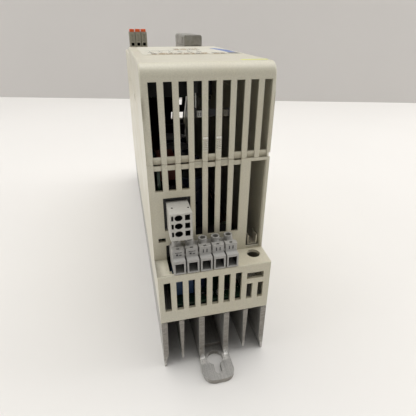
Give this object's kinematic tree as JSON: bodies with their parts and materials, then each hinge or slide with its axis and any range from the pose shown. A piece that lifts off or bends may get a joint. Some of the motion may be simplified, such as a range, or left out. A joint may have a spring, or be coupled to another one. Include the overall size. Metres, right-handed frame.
{
  "type": "servo drive",
  "caption": "Bookshelf servo drive on a finned heat sink, with slotted end vents, plug-in modules and pull-off terminal plugs.",
  "frame": {"origin": "middle of the footprint, on the mounting wall that the heat sink stands on", "axes": "+Z away from the mounting wall, towards the module faces; +Y along the length, from the motor terminal end to the mains terminal end; +X across the width"},
  "size_m": [0.0706, 0.375, 0.2021],
  "materials": {
    "housing": "fine matt mould texture, warm pale grey",
    "aluminium": "extruded and milled, dull",
    "grey_plastic": "satin moulded",
    "light_grey_plastic": "satin moulded",
    "black_plastic": "satin moulded",
    "orange_plastic": "satin",
    "board": "solder resist on glass laminate",
    "steel": "zinc plated",
    "brass": "tin-plated brass",
    "copper": "bare copper",
    "metallised": "metallised screening finish",
    "sleeve": "shrink sleeve",
    "winding": "lacquered copper winding",
    "blue_moulding": "moulded case",
    "red_case": "potted case",
    "light_pipe": "clear moulded light pipes"
  },
  "bodies": {
    "chassis": {"heat_sink": "aluminium", "base_housing": "housing", "top_cover": "housing", "power_board": "board", "filter_board": "board", "control_board": "board", "backplane_board": "board", "board_carrier": "black_plastic", "control_board_rail": "black_plastic", "backplane_rail_left": "black_plastic", "backplane_rail_right": "black_plastic", "backplane_sockets": "black_plastic", "dc_link_capacitor_1": "sleeve", "dc_link_capacitor_2": "sleeve", "dc_link_capacitor_3": "sleeve", "dc_link_capacitor_4": "sleeve", "igbt_module": "black_plastic", "rectifier_bridge": "black_plastic", "filter_choke": "winding", "busbar_plus": "copper", "busbar_minus": "copper", "line_filter_choke": "blue_moulding", "suppression_capacitor": "red_case", "motor_header": "black_plastic", "mains_header": "black_plastic", "brake_header": "black_plastic", "earth_bracket": "steel", "earth_screw": "steel", "screen_clip": "brass"},
    "module_1": {"module_carrier_1": "housing", "module_board_1": "board", "io_header": "black_plastic"},
    "module_2": {"module_carrier_2": "housing", "module_board_2": "board", "status_lights": "light_pipe"},
    "module_3": {"module_carrier_3": "housing", "module_board_3": "board", "dial_block": "black_plastic"},
    "module_4": {"module_carrier_4": "housing", "module_board_4": "board", "bus_socket": "steel"},
    "io_plug": {"io_plug_body": "grey_plastic"},
    "release_button_1": {"release_button_1": "orange_plastic"},
    "release_button_2": {"release_button_2": "orange_plastic"},
    "release_button_3": {"release_button_3": "orange_plastic"},
    "bus_plug": {"bus_hood": "metallised", "bus_plug_shell": "steel"},
    "hood_screw_1": {"hood_screw_1": "steel"},
    "hood_screw_2": {"hood_screw_2": "steel"},
    "address_dial_1": {"address_dial_1": "orange_plastic"},
    "address_dial_2": {"address_dial_2": "orange_plastic"},
    "motor_plug": {"motor_plug_body": "grey_plastic", "motor_clamp_1": "steel", "motor_clamp_2": "steel", "motor_clamp_3": "steel", "motor_clamp_4": "steel", "motor_clamp_5": "steel"},
    "mains_plug": {"mains_plug_body": "grey_plastic"},
    "brake_plug": {"brake_plug_body": "light_grey_plastic"}
  },
  "joints": [
    {"name": "module_1_slide", "type": "slide", "parent": "chassis", "child": "module_1", "axis": [0, 0, 1], "range_m": [0, 0.03]},
    {"name": "module_2_slide", "type": "slide", "parent": "chassis", "child": "module_2", "axis": [0, 0, 1], "range_m": [0, 0.03]},
    {"name": "module_3_slide", "type": "slide", "parent": "chassis", "child": "module_3", "axis": [0, 0, 1], "range_m": [0, 0.03]},
    {"name": "module_4_slide", "type": "slide", "parent": "chassis", "child": "module_4", "axis": [0, 0, 1], "range_m": [0, 0.03]},
    {"name": "io_plug_pull", "type": "slide", "parent": "module_1", "child": "io_plug", "axis": [0, 0, 1], "range_m": [0, 0.012]},
    {"name": "release_button_1_press", "type": "slide", "parent": "io_plug", "child": "release_button_1", "axis": [0, 0, -1], "range_m": [0, 0.0012], "stiffness_N_per_m": 1500},
    {"name": "release_button_2_press", "type": "slide", "parent": "io_plug", "child": "release_button_2", "axis": [0, 0, -1], "range_m": [0, 0.0012], "stiffness_N_per_m": 1500},
    {"name": "release_button_3_press", "type": "slide", "parent": "io_plug", "child": "release_button_3", "axis": [0, 0, -1], "range_m": [0, 0.0012], "stiffness_N_per_m": 1500},
    {"name": "bus_plug_pull", "type": "slide", "parent": "module_4", "child": "bus_plug", "axis": [0, 0, 1], "range_m": [0, 0.012]},
    {"name": "hood_screw_1_turn", "type": "hinge", "parent": "bus_plug", "child": "hood_screw_1", "pos_m": [0.02285, 0.0275, 0.1976], "axis": [0, 0, 1], "continuous": true},
    {"name": "hood_screw_2_turn", "type": "hinge", "parent": "bus_plug", "child": "hood_screw_2", "pos_m": [0.02285, 0.0525, 0.1976], "axis": [0, 0, 1], "continuous": true},
    {"name": "address_dial_1_turn", "type": "hinge", "parent": "module_3", "child": "address_dial_1", "pos_m": [0.0066, 0.02, 0.1818], "axis": [0, 0, 1], "continuous": true},
    {"name": "address_dial_2_turn", "type": "hinge", "parent": "module_3", "child": "address_dial_2", "pos_m": [0.0066, 0.034, 0.1818], "axis": [0, 0, 1], "continuous": true},
    {"name": "motor_plug_pull", "type": "slide", "parent": "chassis", "child": "motor_plug", "axis": [0, -1, 0], "range_m": [0, 0.014]},
    {"name": "mains_plug_pull", "type": "slide", "parent": "chassis", "child": "mains_plug", "axis": [0, 1, 0], "range_m": [0, 0.014]},
    {"name": "brake_plug_pull", "type": "slide", "parent": "chassis", "child": "brake_plug", "axis": [0, -1, 0], "range_m": [0, 0.012]}
  ]
}
